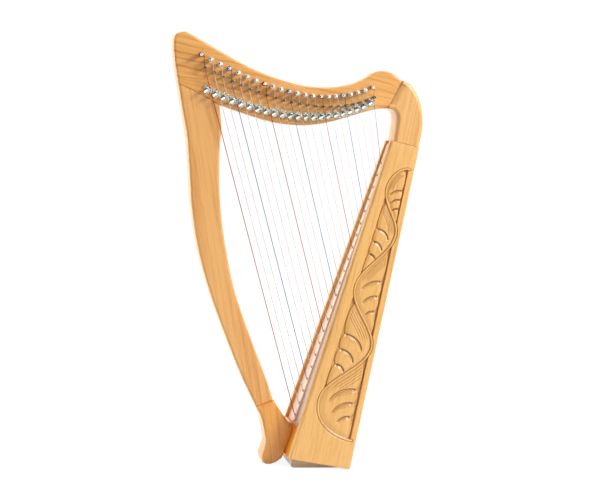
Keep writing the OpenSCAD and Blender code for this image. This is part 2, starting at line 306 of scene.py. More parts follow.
def math_node(tree, operation, a, b=0.0):
    return add(tree, "Math", [(0, a), (1, b)], operation=operation).outputs[0]


# How fine the wood's features are, in waves per metre: in both directions across the grain, then along it
STREAK_SCALE = (240, 240, 5)
CLOUD_SCALE = (14, 14, 3)
PORE_SCALE = (1500, 1500, 170)
WAVER_SCALE = (9, 9, 2.2)
# How much each feature counts in the wood's shade
STREAK_SHARE = 0.45
CLOUD_SHARE = 0.30


def wood(name, lean, pale, dark, seed, bands=0.25, fleck=0.35, carving_shade_colour=None):
    """Lacquered wood. The grain leans from upright by an angle, towards +X.

    bands and fleck are the shares of the year rings and the pores in its shade. The colour given for the
    carving is painted shade, which the wood takes on where the mesh's painted carving shade is highest.
    """
    material, tree = new_material(name)
    place = add(tree, "TexCoord").outputs["Object"]
    along = add(tree, "Mapping", [("Vector", place), ("Rotation", (0, -lean, 0)),
                                  ("Location", (0.37 * seed, 0.19 * seed, 0.53 * seed))]).outputs[0]

    def noise(scale, detail=3.0, roughness=0.55):
        stretched = add(tree, "Mapping", [("Vector", along), ("Scale", scale)]).outputs[0]
        return add(tree, "TexNoise", [("Vector", stretched), ("Scale", 1.0), ("Detail", detail),
                                      ("Roughness", roughness)]).outputs["Fac"]

    streaks = ramp(tree, noise(STREAK_SCALE, 5.0, 0.62), 0.33, 0.68)
    clouds = ramp(tree, noise(CLOUD_SCALE), 0.3, 0.7)
    flecks = ramp(tree, noise(PORE_SCALE, 1.0), 0.60, 0.72)
    waver = noise(WAVER_SCALE)
    sideways = add(tree, "CombineXYZ", [("X", math_node(tree, "MULTIPLY", waver, 0.05))]).outputs[0]
    shifted = add(tree, "VectorMath", [(0, along), (1, sideways)], operation="ADD").outputs[0]
    rings = add(tree, "TexWave", [("Vector", shifted), ("Scale", 26.0), ("Distortion", 2.5), ("Detail", 2.0),
                                  ("Detail Scale", 1.2)], wave_profile="SAW").outputs["Fac"]
    lines = ramp(tree, rings, 0.72, 1.0)
    shade = math_node(tree, "ADD", math_node(tree, "MULTIPLY", streaks, STREAK_SHARE),
                      math_node(tree, "MULTIPLY", clouds, CLOUD_SHARE))
    shade = math_node(tree, "ADD", shade, math_node(tree, "MULTIPLY", lines, bands))
    shade = math_node(tree, "ADD", shade, math_node(tree, "MULTIPLY", flecks, fleck))
    colour = mix(tree, ramp(tree, shade, 0.05, 1.25), pale, dark)
    if carving_shade_colour:
        # Painted shade: the side panels' per-point shade for the carving's recesses and cut lines, not a
        # depth
        depth = add(tree, "Attribute", attribute_name="carve").outputs["Fac"]
        colour = mix(tree, math_node(tree, "MULTIPLY", depth, 0.8), colour, carving_shade_colour)
    height = math_node(tree, "SUBTRACT", streaks, math_node(tree, "MULTIPLY", flecks, 1.5))
    bump = add(tree, "Bump", [("Height", height), ("Strength", 0.16), ("Distance", 0.00015)])
    rough = math_node(tree, "ADD", math_node(tree, "MULTIPLY", streaks, 0.10), 0.34)
    shader = add(tree, "BsdfPrincipled", [("Base Color", colour), ("Roughness", rough), ("Coat Weight", 0.4),
                                          ("Coat Roughness", 0.22), ("Normal", bump.outputs[0])])
    output(tree, shader)
    return material


def output(tree, shader):
    tree.links.new(shader.outputs[0], add(tree, "OutputMaterial").inputs["Surface"])


def metal(name, colour, dull, roughness, scratch=0.08):
    """Plated metal with cloudy tarnish, fine scratches of a given strength and an uneven shine."""
    material, tree = new_material(name)
    place = add(tree, "TexCoord").outputs["Object"]
    clouds = add(tree, "TexNoise", [("Vector", place), ("Scale", 130.0), ("Detail", 3.0)]).outputs["Fac"]
    stretched = add(tree, "Mapping", [("Vector", place), ("Scale", (900, 900, 6000)),
                                      ("Rotation", (0.3, 0.5, 0.2))]).outputs[0]
    scratches = add(tree, "TexNoise", [("Vector", stretched), ("Scale", 1.0), ("Detail", 2.0)]).outputs["Fac"]
    tint = mix(tree, ramp(tree, clouds, 0.35, 0.75), colour, dull)
    rough = math_node(tree, "ADD", math_node(tree, "MULTIPLY", clouds, 0.16), roughness - 0.08)
    bump = add(tree, "Bump", [("Height", scratches), ("Strength", scratch), ("Distance", 0.00005)])
    output(tree, add(tree, "BsdfPrincipled", [("Base Color", tint), ("Metallic", 1.0), ("Roughness", rough),
                                              ("Normal", bump.outputs[0])]))
    return material


def nylon(name, colour, deep, clear):
    """Drawn nylon line with faint unevenness. clear is how much light it lets through, from 0 to 1."""
    material, tree = new_material(name)
    place = add(tree, "TexCoord").outputs["Object"]
    uneven = add(tree, "TexNoise", [("Vector", place), ("Scale", 260.0), ("Detail", 3.0)]).outputs["Fac"]
    tint = mix(tree, ramp(tree, uneven, 0.3, 0.7), colour, deep)
    rough = math_node(tree, "ADD", math_node(tree, "MULTIPLY", uneven, 0.2), 0.18)
    bump = add(tree, "Bump", [("Height", uneven), ("Strength", 0.1), ("Distance", 0.00005)])
    output(tree, add(tree, "BsdfPrincipled", [("Base Color", tint), ("Roughness", rough), ("IOR", 1.53),
                                              ("Transmission Weight", clear), ("Normal", bump.outputs[0])]))
    return material


HONEY_PALE = linear(236, 180, 112)
HONEY_DARK = linear(205, 136, 62)
NECK_WOOD = wood("neck_wood", math.radians(97), linear(236, 178, 104), linear(196, 124, 44), 1, bands=0.42)
PILLAR_WOOD = wood("pillar_wood", math.radians(-12), HONEY_PALE, HONEY_DARK, 2, bands=0.20)
SHOULDER_WOOD = wood("shoulder_wood", math.radians(8), linear(240, 190, 126), linear(214, 150, 80), 3,
                     bands=0.15)
# The foot's deeper, more saturated tones are partly its own colour and partly painted shade.
FOOT_WOOD = wood("foot_wood", math.radians(-8), linear(236, 172, 90), linear(206, 132, 42), 4, bands=0.20)
# The panel's dark carving colour is painted shade for the carving's recesses and cut lines.
PANEL_WOOD = wood("panel_wood", BOX_LEAN, linear(238, 188, 118), linear(210, 150, 74), 5, bands=0.22,
                  carving_shade_colour=linear(146, 86, 6))
BACK_WOOD = wood("back_wood", BOX_LEAN, HONEY_PALE, HONEY_DARK, 6, bands=0.35)
# The inner frame's saturated, deep honey tones are painted shade: its front block sits in the box's shade.
INNER_WOOD = wood("inner_wood", FRONT_LEAN, linear(242, 164, 44), linear(212, 126, 12), 7, bands=0.2)
# The wedge's pale grey is painted light: the white floor's bounce and sheen on its faces.
BASE_WOOD = wood("base_wood", math.radians(90), linear(222, 196, 172), linear(190, 156, 126), 8, bands=0.3)
# The soundboard's own pale wood, made paler and pinker still as painted light from the left.
BOARD_WOOD = wood("board_wood", FRONT_LEAN, linear(244, 220, 200), linear(226, 194, 164), 9,
                  bands=0.30, fleck=0.15)
NICKEL = metal("nickel", linear(244, 242, 230), linear(222, 218, 204), 0.14, 0.05)
PLATE = metal("plate_nickel", linear(206, 205, 194), linear(166, 165, 154), 0.26, 0.04)
# The bridge pins' dark nickel is painted shade.
BRIDGE = metal("bridge_nickel", linear(150, 147, 138), linear(96, 94, 88), 0.26, 0.05)
PIN_STEEL = metal("pin_steel", linear(238, 238, 234), linear(176, 174, 168), 0.16, 0.15)
EYELET_METAL = metal("eyelet_metal", linear(168, 158, 146), linear(112, 102, 92), 0.35)
NYLON = {
    "clear": nylon("nylon_clear", linear(242, 234, 232), linear(224, 216, 216), 0.25),
    "red": nylon("nylon_red", linear(190, 30, 28), linear(140, 14, 20), 0.0),
    "blue": nylon("nylon_blue", linear(66, 118, 196), linear(36, 70, 140), 0.0),
}


# ---------------------------------------------------------------- boards with rounded edges

# Points this near each other are the same corner
SAME_PLACE = 0.3 * MM
# An edge this near another board, or the line through the soundbox's corners, is glued there
GLUED_WITHIN = 0.4 * MM
BOX_FACE_WITHIN = 1.2 * MM
# How wide the boards' edges are rounded. The shoulder's edges go down by SHOULDER_DROP.
EDGE_ROUND = 4.5 * MM
SHOULDER_ROUND = 6 * MM
SHOULDER_ROUND_AT_NECK = 10 * MM
SHOULDER_DROP = 5 * MM
FOOT_ROUND = 5 * MM
WEDGE_ROUND = 1.3 * MM
JOINT_GROOVE = 0.45 * MM
# An outline that turns by more than this has a corner there
SHARP_TURN = math.radians(24)


def turn_at(points, i):
    """How sharply an outline turns at a point, in radians."""
    before = points[i] - points[i - 1]
    after = points[(i + 1) % len(points)] - points[i]
    cross = before[0] * after[1] - before[1] * after[0]
    return abs(math.atan2(cross, before @ after))


def is_near(p, places):
    return any(np.hypot(*(p - q)) < SAME_PLACE for q in places)


def smoothed(points, corners, steps=3):
    """The outline with each stretch between corners resampled along a smooth curve, inside its own box."""
    fixed = [i for i, p in enumerate(points) if is_near(p, corners)]
    made = []
    for a, b in zip(fixed, fixed[1:] + [fixed[0] + len(points)]):
        run = [points[k % len(points)] for k in range(a, b + 1)]
        for k in range(len(run) - 1):
            p1, p2 = run[k], run[k + 1]
            p0 = run[k - 1] if k else 2 * p1 - p2
            p3 = run[k + 2] if k + 2 < len(run) else 2 * p2 - p1
            length = np.hypot(*(p2 - p1))
            leave = (p2 - p0) * length / (length + np.hypot(*(p1 - p0)))
            arrive = (p3 - p1) * length / (length + np.hypot(*(p3 - p2)))
            for t in (n / steps for n in range(steps)):
                made.append(p1 + leave * t + (3 * (p2 - p1) - 2 * leave - arrive) * t * t
                            + (2 * (p1 - p2) + leave + arrive) * t ** 3)
    return np.clip(np.array(made), points.min(axis=0), points.max(axis=0))


def distance_to_line(p, a, b):
    """Distance from a point to the stretch between two others."""
    run = b - a
    t = np.clip((p - a) @ run / (run @ run), 0, 1)
    return np.hypot(*(p - a - t * run))


def on_outline(p, other):
    return min(distance_to_line(p, other[i - 1], other[i]) for i in range(len(other))) < GLUED_WITHIN


def inset_vectors(points, widths):
    """For each point, the step that moves both of its edges inward by their widths."""
    least_mitred_bend = 0.35
    steps = []
    for i, p in enumerate(points):
        edges = (p - points[i - 1], points[(i + 1) % len(points)] - p)
        normals = [np.array((-e[1], e[0])) / np.hypot(*e) for e in edges]
        pair = np.array((widths[i - 1], widths[i]))
        if abs(normals[0][0] * normals[1][1] - normals[0][1] * normals[1][0]) > least_mitred_bend:
            steps.append(np.linalg.solve(np.array(normals), pair))
        else:
            middle = normals[0] + normals[1]
            steps.append(2 * middle / (middle @ middle) * pair.mean())
    return np.array(steps)


def crossing(a, b, c, d):
    """The point where the stretch from a to b crosses the one from c to d, or None."""
    u, v, w = b - a, d - c, c - a
    area = u[0] * v[1] - u[1] * v[0]
    if abs(area) < 1e-15:
        return None
    along_u = (w[0] * v[1] - w[1] * v[0]) / area
    along_v = (w[0] * u[1] - w[1] * u[0]) / area
    return a + along_u * u if 0 < along_u < 1 and 0 < along_v < 1 else None


def untangled(ring, reach=40):
    """The ring with each loop of up to reach points drawn together to the point where it crosses itself."""
    count = len(ring)
    for i in range(count):
        for j in range(i + reach, i + 1, -1):
            meeting = crossing(ring[i], ring[(i + 1) % count], ring[j % count], ring[(j + 1) % count])
            if meeting is not None:
                for k in range(i + 1, j + 1):
                    ring[k % count] = meeting
                break
    return ring


def rounded_board(name, node, material, corners, width_of, depth, bulge=2.0, rings=6):
    """A board with the CAD node's outline and thickness.

    width_of(p) is how wide the edge at p is rounded. A bulge of 2 is round, and less is nearer a chamfer.
    """
    points = smoothed(outline(node), corners)
    low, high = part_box(node)
    widths = [width_of((points[i] + points[(i + 1) % len(points)]) / 2) for i in range(len(points))]
    steps = untangled(points + inset_vectors(points, widths)) - points
    angles = [math.pi / 2 * k / rings for k in range(rings + 1)]
    curve = [(depth * (1 - math.sin(a) ** (2 / bulge)), 1 - abs(math.cos(a)) ** (2 / bulge)) for a in angles]
    levels = [(low[1] + drop, share) for drop, share in reversed(curve)]
    levels += [(high[1] - drop, share) for drop, share in curve]
    bm = bmesh.new()
    loops = []
    for y, share in levels:
        ring = points + steps * share
        loops.append([bm.verts.new((x, y, z)) for x, z in ring])
    bridge_rings(bm, loops)
    bm.faces.new(loops[0])
    bm.faces.new(loops[-1])
    bmesh.ops.remove_doubles(bm, verts=bm.verts, dist=1e-7)
    return piece(name, bm, material, "frame", node)


BOARDS = {node: outline(node) for node in ("pillar", "neck", "shoulder_block", "pillar_foot", "base_wedge")}
BOARD_CORNERS = [points[i] for points in BOARDS.values() for i in range(len(points))
                 if turn_at(points, i) > SHARP_TURN]


def xz(p):
    return np.array((p.x, p.z))


def on_box_front(p):
    return distance_to_line(p, xz(FRONT_LOW), xz(FRONT_HIGH)) < BOX_FACE_WITHIN


def on_box_top(p):
    return distance_to_line(p, xz(FRONT_HIGH), xz(BACK_HIGH)) < BOX_FACE_WITHIN


def neck_width(p):
    if on_outline(p, BOARDS["pillar"]) or on_outline(p, BOARDS["shoulder_block"]):
        return JOINT_GROOVE
    return EDGE_ROUND


def pillar_width(p):
    if on_outline(p, BOARDS["neck"]) or on_outline(p, BOARDS["pillar_foot"]):
        return JOINT_GROOVE
    return EDGE_ROUND


def shoulder_width(p):
    if on_box_top(p):
        return JOINT_GROOVE
    return SHOULDER_ROUND_AT_NECK if on_outline(p, BOARDS["neck"]) else SHOULDER_ROUND


def foot_width(p):
    return JOINT_GROOVE if on_box_front(p) else FOOT_ROUND


def wedge_width(p):
    return WEDGE_ROUND


rounded_board("neck_board", "neck", NECK_WOOD, BOARD_CORNERS, neck_width, EDGE_ROUND)
rounded_board("pillar_board", "pillar", PILLAR_WOOD, BOARD_CORNERS, pillar_width, EDGE_ROUND)
rounded_board("shoulder", "shoulder_block", SHOULDER_WOOD, BOARD_CORNERS, shoulder_width, SHOULDER_DROP,
              bulge=1.4)
rounded_board("foot", "pillar_foot", FOOT_WOOD, BOARD_CORNERS, foot_width, FOOT_ROUND)
rounded_board("wedge", "base_wedge", BASE_WOOD, BOARD_CORNERS, wedge_width, WEDGE_ROUND)


# ---------------------------------------------------------------- carved side panels

PANEL_LEN = (flat(BACK_HIGH) - flat(BACK_LOW)).length / MM
DEPTH_LOW = (flat(BACK_LOW) - flat(FRONT_LOW)).length / MM
DEPTH_HIGH = (flat(BACK_HIGH) - flat(FRONT_HIGH)).length / MM

# The carving, in millimetres on the panel: u runs from its front edge and v from its bottom.
# The stem swings between the front and the back at these shares of the panel's height.
STEM_TURNS = [0.086, 0.196, 0.375, 0.549, 0.726, 0.860, 0.928]
# How near the stem's middle comes to the panel's front and back edges, and how near the leaves come
STEM_FRONT = 19.5
STEM_BACK = 9.0
FRONT_MARGIN = 21.5
BACK_MARGIN = 11.0
STEM_HALF = 2.2
STEM_GROOVE = 1.3
STEM_GROOVE_HALF = 1.2
GROUND_DEPTH = 3.4
# A leaf's surface falls from its crown to its rim by this much
LEAF_DEPTH = 1.5
# The places of a leaf's lobes and veins, as shares of its length, and each vein's width and drop
# as shares of the leaf's size, which is its greatest distance from stem to margin
LOBE_NOTCHES = (-0.02, 0.27, 0.435, 0.60, 0.93)
VEIN_NOTCHES = LOBE_NOTCHES[1:4]
VEIN_WIDTHS = (0.28, 0.47, 0.60)
VEIN_DROPS = (0.26, 0.46, 0.54)
VEIN_START = 0.165
VEIN_DEPTH = 2.3
# Below each main vein the leaf is scooped out this widely, as a share of its size and in millimetres
SCOOP_SHARE = 6.5 / 75
SCOOP_LEAST = 0.8
# Each vein and the fainter ones below it: scale, turn in degrees and strength
VEIN_LINES = ((1.0, 80, 1.0), (0.86, 68, 0.34), (0.73, 60, 0.28), (0.60, 52, 0.2))
# Fine lines along the stem, at these shares of the leaf's size from it
STEM_LINES = (0.09, 0.155, 0.22, 0.285)
STEM_LINE_DEPTH = 0.8
LINE_HALF = 1.4
FINE_LINE_HALF = 1.1
CARVE_STEP = 0.8
# How much painted shade the depth, the hollows and the cut lines each put on the wood
DEPTH_SHADE = 0.36
HOLLOW_SHADE = 0.5
LINE_SHADE = 0.95


def panel_depth(v):
    return DEPTH_LOW + (DEPTH_HIGH - DEPTH_LOW) * v / PANEL_LEN


def smooth_step(x):
    x = np.clip(x, 0, 1)
    return x * x * (3 - 2 * x)


def stem_path(steps=24):
    """The stem's middle line as (u, v) points."""
    path = []
    for k in range(len(STEM_TURNS) - 1):
        low, high = STEM_TURNS[k] * PANEL_LEN, STEM_TURNS[k + 1] * PANEL_LEN
        for n in range(steps):
            f = n / steps
            if k == 0:
                share, v = 1 - math.sin(f * math.pi / 2), high - (high - low) * math.cos(f * math.pi / 2)
            elif k == len(STEM_TURNS) - 2:
                share, v = 1 - math.cos(f * math.pi / 2), low + (high - low) * math.sin(f * math.pi / 2)
            else:
                rising = k % 2
                share = (1 - math.cos(f * math.pi)) / 2 if rising else (1 + math.cos(f * math.pi)) / 2
                v = low + (high - low) * f
            path.append((STEM_FRONT + (panel_depth(v) - STEM_BACK - STEM_FRONT) * share, v))
    top = STEM_TURNS[-1] * PANEL_LEN
    path.append((panel_depth(top) - STEM_BACK, top))
    return np.array(path)


def distance_to_path(u, v, path):
    """Each point's distance to a path, and the nearest place along it as a share of its pieces."""
    best = np.full(u.shape, 1e9)
    where = np.zeros(u.shape)
    for k, (a, b) in enumerate(zip(path, path[1:])):
        run = b - a
        t = np.clip(((u - a[0]) * run[0] + (v - a[1]) * run[1]) / (run @ run), 0, 1)
        d = np.hypot(u - a[0] - t * run[0], v - a[1] - t * run[1])
        near = d < best
        best[near] = d[near]
        where[near] = (k + t[near]) / (len(path) - 1)
    return best, where


def groove(distance, width):
    """A rounded V across a line, 1 deep in its middle."""
    return np.clip(1 - distance / width, 0, 1) ** 1.3


def lobed_edge(a, size):
    """How far the leaf's own edge lies from the margin, at shares a of the leaf's length."""
    reach = np.full(a.shape, 0.22 * size)
    for low, high in zip(LOBE_NOTCHES, LOBE_NOTCHES[1:]):
        f = (a - low) / (high - low)
        inside = (f >= 0) & (f <= 1)
        swell = 0.085 if high - low < 0.2 else 0.1
        reach[inside] = size * (0.135 - swell * np.sin(np.pi * f[inside]) ** 0.6)
    return reach


def leaf_relief(u, v, margin, stem_gap, low, high, size):
    """Depth of one leaf, and the painted shade of its cut lines. margin and stem_gap are distances inward
    from its two boundaries.
    """
    length = high - low
    a = (v - low) / length
    edge = lobed_edge(a, size)
    inner = margin - edge
    crown = smooth_step(np.minimum(stem_gap, np.abs(inner)) / (0.16 * size))
    leaf = LEAF_DEPTH * (1.15 - 0.8 * crown)
    # Painted shade along the leaf's cut lines, from 0 to 1
    cut_line_shade = np.zeros(u.shape)
    start = VEIN_START * size
    for notch, width, drop in zip(VEIN_NOTCHES, VEIN_WIDTHS, VEIN_DROPS):
        top = low + notch * length
        rx, ry = width * size, drop * size
        for scale, limit, strength in VEIN_LINES:
            angles = np.radians(np.linspace(0, limit, 14))
            path = np.stack([start + rx * scale * np.sin(angles),
                             top - (1 - scale) * 0.5 * ry - ry * scale * (1 - np.cos(angles))], axis=1)
            distance, along = distance_to_path(margin, v, path)
            taper = smooth_step((1 - along) / 0.18) * smooth_step(inner / 2 + 1)
            cut_line_shade = np.maximum(cut_line_shade, strength ** 0.5 * taper * groove(distance, 1.5))
            above = np.hypot((margin - start) / (rx * scale),
                             (v - path[0][1] + ry * scale) / (ry * scale)) > 1
            main_width = np.where(above, LINE_HALF, SCOOP_SHARE * size + SCOOP_LEAST)
            width_here = main_width if scale == 1 else FINE_LINE_HALF
            leaf = leaf + VEIN_DEPTH * strength * taper * groove(distance, width_here)
    upper_part = smooth_step((a - 0.54) / 0.08) * smooth_step((0.90 - a) / 0.05)
    window = upper_part * smooth_step((inner - 2) / 3)
    for offset in STEM_LINES:
        line = window * groove(np.abs(stem_gap - offset * size), LINE_HALF)
        leaf = leaf + STEM_LINE_DEPTH * line
        cut_line_shade = np.maximum(cut_line_shade, 0.5 * line)
    ground = smooth_step(-inner / 1.3 + 0.5)
    relief = leaf * (1 - ground) + GROUND_DEPTH * ground
    wall = smooth_step(margin / 0.9) * smooth_step(stem_gap / 1.0 + 0.4)
    return relief * wall, cut_line_shade * (1 - ground)


def carving(u, v):
    """Depth of the carving at points of the panel, in millimetres, and the painted shade of its cut lines
    there.
    """
    stem = stem_path()
    reach, _ = distance_to_path(u, v, stem)
    back_side = u > np.interp(v, stem[:, 1], stem[:, 0])
    within = (v > stem[0][1]) & (v < stem[-1][1])
    depth = np.zeros(u.shape)
    cut_line_shade = np.zeros(u.shape)
    for k in range(1, len(STEM_TURNS) - 1):
        at_back = k % 2 == 1
        line = np.linspace(STEM_TURNS[k - 1], STEM_TURNS[k + 1], 400) * PANEL_LEN
        middle = np.interp(line, stem[:, 1], stem[:, 0])
        room = (panel_depth(line) - BACK_MARGIN - middle) if at_back else (middle - FRONT_MARGIN)
        spread = line[room > STEM_HALF + 1]
        low, high = spread[0], spread[-1]
        margin = (panel_depth(v) - BACK_MARGIN - u) if at_back else (u - FRONT_MARGIN)
        mask = within & (back_side == at_back) & (margin > 0) & (v > line[0]) & (v < line[-1])
        leaf, lines = leaf_relief(u[mask], v[mask], margin[mask], reach[mask] - STEM_HALF,
                                  low, high, room.max())
        depth[mask] = np.maximum(depth[mask], leaf)
        cut_line_shade[mask] = np.maximum(cut_line_shade[mask], lines)
    ends = smooth_step((v - stem[0][1] + 4) / 3) * smooth_step((stem[-1][1] + 4 - v) / 3)
    line = groove(np.abs(reach - STEM_HALF), STEM_GROOVE_HALF) * STEM_GROOVE * ends
    return np.maximum(depth, line), np.maximum(cut_line_shade, line / STEM_GROOVE)


def blurred(values, reach):
    """Each value averaged with its neighbours up to a reach away in both directions."""
    for axis in (0, 1):
        values = sum(np.roll(values, k, axis) for k in range(-reach, reach + 1)) / (2 * reach + 1)
    return values


# How far the side panels' front, back and end edges are rounded, and the rounding of the ends in
# two steps: (distance from the end, how far the edge is cut back there), in millimetres
PANEL_FRONT_ROUND = 5.0
PANEL_BACK_ROUND = 1.6
PANEL_END_ROUND = 0.8
END_STEPS = ((0, 0.55), (0.3, 0.15))


def panel_rows():
    """The heights of a panel's cross-sections, and how far each is cut back all round."""
    ends = [height for height, _ in END_STEPS] + [PANEL_END_ROUND]
    middle = np.arange(2 * PANEL_END_ROUND, PANEL_LEN - PANEL_END_ROUND, CARVE_STEP)
    rows = np.concatenate([ends, middle, [PANEL_LEN - height for height in reversed(ends)]])
    trims = np.zeros(len(rows))
    for k, (_, cut) in enumerate(END_STEPS):
        trims[k] = trims[-1 - k] = cut
    return rows, trims


def side_panel(name, node, mirror):
    """A carved side panel: a loft of cross-sections up the box, with its carving cut into the outer face."""
    corners = panel_corners(node)
    thickness = abs(corners["low", "back", "outer"].y - corners["low", "back", "inner"].y) / MM
    rows, trims = panel_rows()
    columns = int((DEPTH_LOW - PANEL_FRONT_ROUND - PANEL_BACK_ROUND) / CARVE_STEP)
    shares = np.linspace(0, 1, columns + 1)
    flat_depth = panel_depth(rows)[:, None] - PANEL_FRONT_ROUND - PANEL_BACK_ROUND
    u_all = PANEL_FRONT_ROUND + shares[None, :] * flat_depth
    v_all = np.repeat(rows[:, None], columns + 1, axis=1)
    relief, cut_line_shade = carving(u_all, v_all)
    # Painted shade for the carving: darker with depth, in its hollows and along its cut lines
    hollow = np.maximum(relief - blurred(relief, 3), 0)
    shade = np.clip(DEPTH_SHADE * relief / GROUND_DEPTH + HOLLOW_SHADE * hollow + LINE_SHADE * cut_line_shade, 0, 1)
    # The rounded edges' points: how far from the edge, and how far below the outer face
    arc = [(1 - math.sin(a), 1 - math.cos(a)) for a in (math.pi / 2 * k / 6 for k in range(1, 7))]
    back_arc = [(PANEL_BACK_ROUND * side, PANEL_BACK_ROUND * down) for side, down in arc]
    front_arc = [(PANEL_FRONT_ROUND * side, PANEL_FRONT_ROUND * down) for side, down in reversed(arc)]
    bm = bmesh.new()
    # Each point's painted shade for the carving, read by the panel wood
    carve = bm.verts.layers.float.new("carve")
    loops = []
    for i, v in enumerate(rows):
        depth, trim = panel_depth(v), trims[i]
        # (u, distance below the outer face, painted shade), round the section from the outer face's front
        section = [(u, r + trim, painted_shade) for u, r, painted_shade in zip(u_all[i], relief[i], shade[i])]
        section += [(depth - side, down + trim, 0) for side, down in back_arc]
        section += [(depth, thickness, 0), (0.0, thickness, 0)]
        section += [(side, down + trim, 0) for side, down in front_arc]
        loop = []
        for u, inward, painted_shade in section:
            u = min(max(u, trim), depth - trim)
            low = corners["low", "front", "outer"].lerp(corners["low", "back", "outer"], u / depth)
            high = corners["high", "front", "outer"].lerp(corners["high", "back", "outer"], u / depth)
            p = low.lerp(high, v / PANEL_LEN)
            p.y += mirror * inward * MM
            vert = bm.verts.new(p)
            vert[carve] = painted_shade
            loop.append(vert)
        loops.append(loop)
    bridge_rings(bm, loops)
    bm.faces.new(loops[0])
    bm.faces.new(loops[-1])
    return piece(name, bm, PANEL_WOOD, "frame", node, crease=75)


side_panel("left_panel", "left_side_panel", 1)
side_panel("right_panel", "right_side_panel", -1)


# ---------------------------------------------------------------- other wooden parts

def refined(name, node, material, body, width, segments=2, angle=28):
    """The CAD node's shape with its edges rounded."""
    bm = welded(node)
    bmesh.ops.dissolve_limit(bm, angle_limit=math.radians(0.5), verts=bm.verts, edges=bm.edges)
    edges = [e for e in bm.edges if len(e.link_faces) == 2 and e.calc_face_angle(0) > math.radians(angle)]
    bmesh.ops.bevel(bm, geom=edges, offset=width, segments=segments, profile=0.5, affect="EDGES",
                    clamp_overlap=True)
    return piece(name, bm, material, body, node)


refined("sound_board", "soundboard", BOARD_WOOD, "frame", 0.4 * MM)
refined("back_board", "back_panel", BACK_WOOD, "frame", 0.8 * MM)
piece("inner_frame", welded("box_frame"), INNER_WOOD, "frame", "box_frame")


# ---------------------------------------------------------------- strings and their hardware

def string_radius(i, thick=THICK_STRING, thin=THIN_STRING):
    return thick + (thin - thick) * (i - 1) / (STRINGS - 1)


def shade_of(i):
    """Every C is red and every F is blue."""
    return "red" if (i - 1) % 7 == 0 else "blue" if (i - 4) % 7 == 0 else "clear"


STRING_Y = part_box("strings_red")[0][1] + STRING_INSET
NECK_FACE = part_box("neck")[0][1]
PIN_RADIUS = 3.2 * MM
PIN_IN_NECK = 12 * MM
BRIDGE_IN_NECK = 10 * MM
# Length of a tuning pin's square head, and the half width of the square at its root and its end
HEAD_LENGTH = 6.5 * MM
HEAD_ROOT = 2.3 * MM
HEAD_END = 2.1 * MM
COIL_TURNS = 3.25
COIL_STEPS_PER_TURN = 20
# An eyelet's section, as (radius, depth below its mouth)
EYELET_PROFILE = [(1.30 * MM, 6.0 * MM), (1.30 * MM, 0.7 * MM), (1.45 * MM, 0.25 * MM),
                  (1.75 * MM, 0.0), (2.15 * MM, 0.08 * MM), (2.45 * MM, 0.4 * MM), (2.50 * MM, 0.8 * MM),
                  (1.85 * MM, 0.85 * MM), (1.85 * MM, 6.0 * MM), (1.30 * MM, 6.0 * MM)]
# A string's knot behind the soundboard, as (radius, height), and how deep it lies
KNOT_PROFILE = [(0, 0), (1.6 * MM, 0.4 * MM), (2.1 * MM, 1.6 * MM), (1.5 * MM, 2.9 * MM), (0, 3.3 * MM)]
KNOT_DEPTH = 11.5 * MM


def eyelet_mouths():
    """The middle of each eyelet's outer face, lowest first."""
    mouths = []
    for co in solids("string_eyelets", key=lambda c: c[:, 2].mean()):
        up, inward = co @ np.array(FRONT_UP), co @ np.array(INWARD)
        mouths.append(FRONT_UP * ((up.min() + up.max()) / 2) + INWARD * inward.min())
    return mouths


def pin_axes():
    """Each bridge pin's x, the y of its outer end, its z and its radius."""
    found = []
    for co in solids("bridge_pins", key=lambda c: c[:, 0].mean()):
        x, y, z = co.T
        found.append(((x.min() + x.max()) / 2, y.min(), (z.min() + z.max()) / 2, (x.max() - x.min()) / 2))
    return found


MOUTHS = eyelet_mouths()
BRIDGES = pin_axes()


def build_eyelets():
    bm = bmesh.new()
    for mouth in MOUTHS:
        lathe(bm, mouth, INWARD, EYELET_PROFILE, sides=24)
    return piece("eyelets", bm, EYELET_METAL, "frame", "string_eyelets", crease=60)


def build_bridge_pins():
    """Bridge pins with a groove where the string lies and a dimple in the outer end."""
    bm = bmesh.new()
    for x, end, z, radius in BRIDGES:
        out = NECK_FACE - end
        groove_at = NECK_FACE - STRING_Y
        in_neck = [(0, -BRIDGE_IN_NECK), (radius, -BRIDGE_IN_NECK), (radius, 0)]
        waist = [(radius, groove_at - 1.2 * MM), (radius - 0.35 * MM, groove_at - 0.4 * MM),
                 (radius - 0.35 * MM, groove_at + 0.4 * MM), (radius, groove_at + 1.2 * MM)]
        rim = [(radius, out - 0.6 * MM), (radius - 0.25 * MM, out - 0.2 * MM), (radius - 0.7 * MM, out)]
        dimple = [(1.15 * MM, out), (1.05 * MM, out - 2.6 * MM), (0, out - 2.9 * MM)]
        lathe(bm, (x, NECK_FACE, z), (0, -1, 0), in_neck + waist + rim + dimple, sides=24)
    return piece("bridge_pegs", bm, BRIDGE, "frame", "bridge_pins", crease=35)


def coil_start(i):
    """The pin's axis, where the string bends at its bridge pin, and the coil's first angle and radius."""
    x, _, z = JOINTS[f"tuning_pin_{i:02d}_turn"]["pos_m"]
    around = PIN_RADIUS + string_radius(i)
    bridge_x, _, bridge_z, bridge_radius = BRIDGES[i - 1]
    mouth = MOUTHS[i - 1]
    lean = math.atan2(-(bridge_x - mouth.x), bridge_z - mouth.z)
    gap = bridge_radius + string_radius(i) + 0.12 * MM
    bend = Vector((bridge_x - gap * math.cos(lean), STRING_Y, bridge_z - gap * math.sin(lean)))
    away = Vector((bend.x - x, 0, bend.z - z))
    turn = math.acos(around / away.length)
    toward = math.atan2(away.z, away.x)
    angle = toward + turn
    return Vector((x, STRING_Y, z)), bend, angle, around


